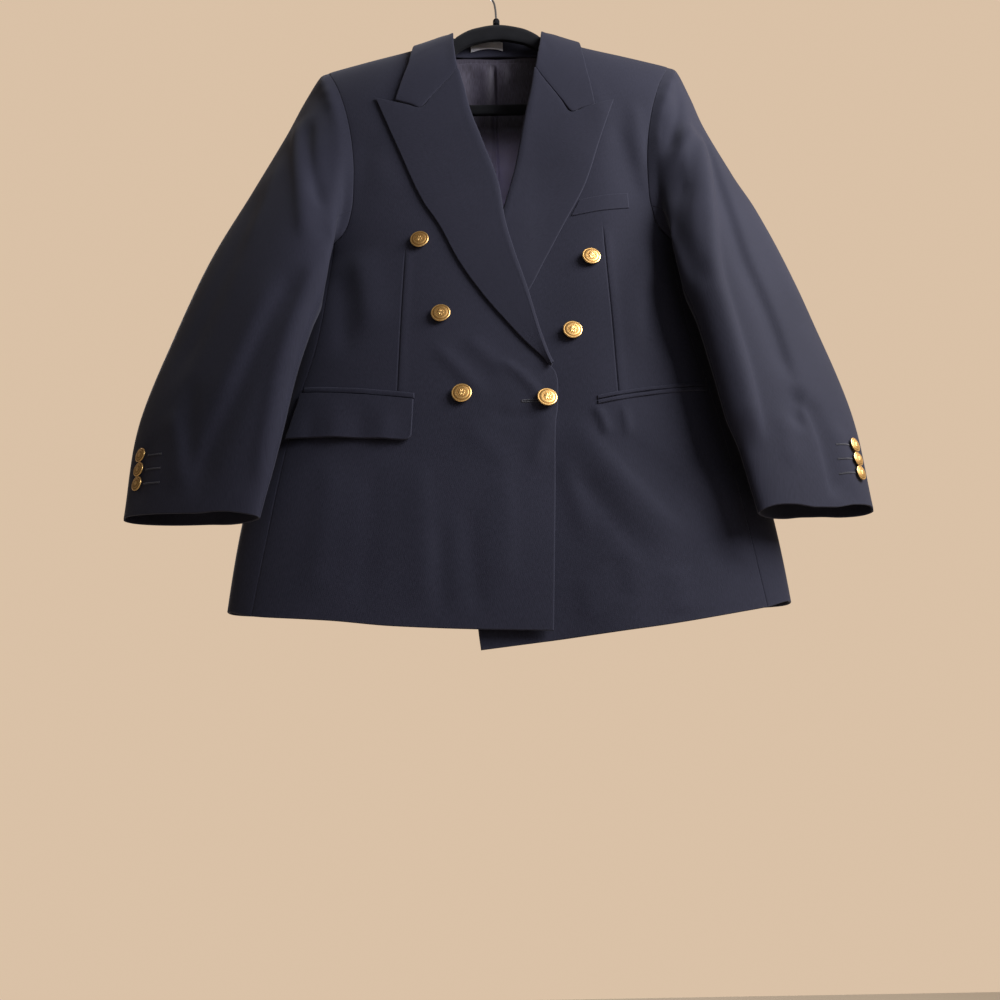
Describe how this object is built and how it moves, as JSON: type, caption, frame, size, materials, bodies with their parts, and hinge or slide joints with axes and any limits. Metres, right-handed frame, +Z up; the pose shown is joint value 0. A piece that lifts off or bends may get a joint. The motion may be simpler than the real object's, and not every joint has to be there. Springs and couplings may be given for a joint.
{
  "type": "double-breasted blazer on a hanger",
  "caption": "Navy double-breasted blazer with peak lapels and gilt buttons, fastened and hung on a slim velvet hanger; body and sleeves open and hollow.",
  "frame": {"origin": "inner top of the hanger's hook, where a rail touches it", "axes": "+Z up; -Y the way the blazer's front faces; +X towards the wearer's left"},
  "size_m": [0.7547, 0.1183, 0.9163],
  "materials": {
    "navy_worsted": "smooth worsted twill",
    "satin_lining": "satin",
    "woven_label": "woven, bare",
    "gilt_metal": "polished gilt with darker relief",
    "black_velvet": "flocked",
    "plated_wire": "polished"
  },
  "bodies": {
    "root": {"front_right": "navy_worsted", "front_left": "navy_worsted", "side_right": "navy_worsted", "side_left": "navy_worsted", "back_right": "navy_worsted", "back_left": "navy_worsted", "sleeve_top_right": "navy_worsted", "sleeve_top_left": "navy_worsted", "sleeve_under_right": "navy_worsted", "sleeve_under_left": "navy_worsted", "lapel_right": "navy_worsted", "lapel_left": "navy_worsted", "collar": "navy_worsted", "jetting_right": "navy_worsted", "pocket_flap_right": "navy_worsted", "jetting_left_upper": "navy_worsted", "jetting_left_lower": "navy_worsted", "chest_welt": "navy_worsted", "lining_back": "satin_lining", "label": "woven_label", "button_right_top": "gilt_metal", "button_right_middle": "gilt_metal", "button_right_bottom": "gilt_metal", "button_left_top": "gilt_metal", "button_left_middle": "gilt_metal", "button_closing": "gilt_metal", "cuff_button_right_1": "gilt_metal", "cuff_button_right_2": "gilt_metal", "cuff_button_right_3": "gilt_metal", "cuff_button_left_1": "gilt_metal", "cuff_button_left_2": "gilt_metal", "cuff_button_left_3": "gilt_metal", "hanger_frame": "black_velvet", "hanger_hook": "plated_wire"}
  },
  "joints": []
}
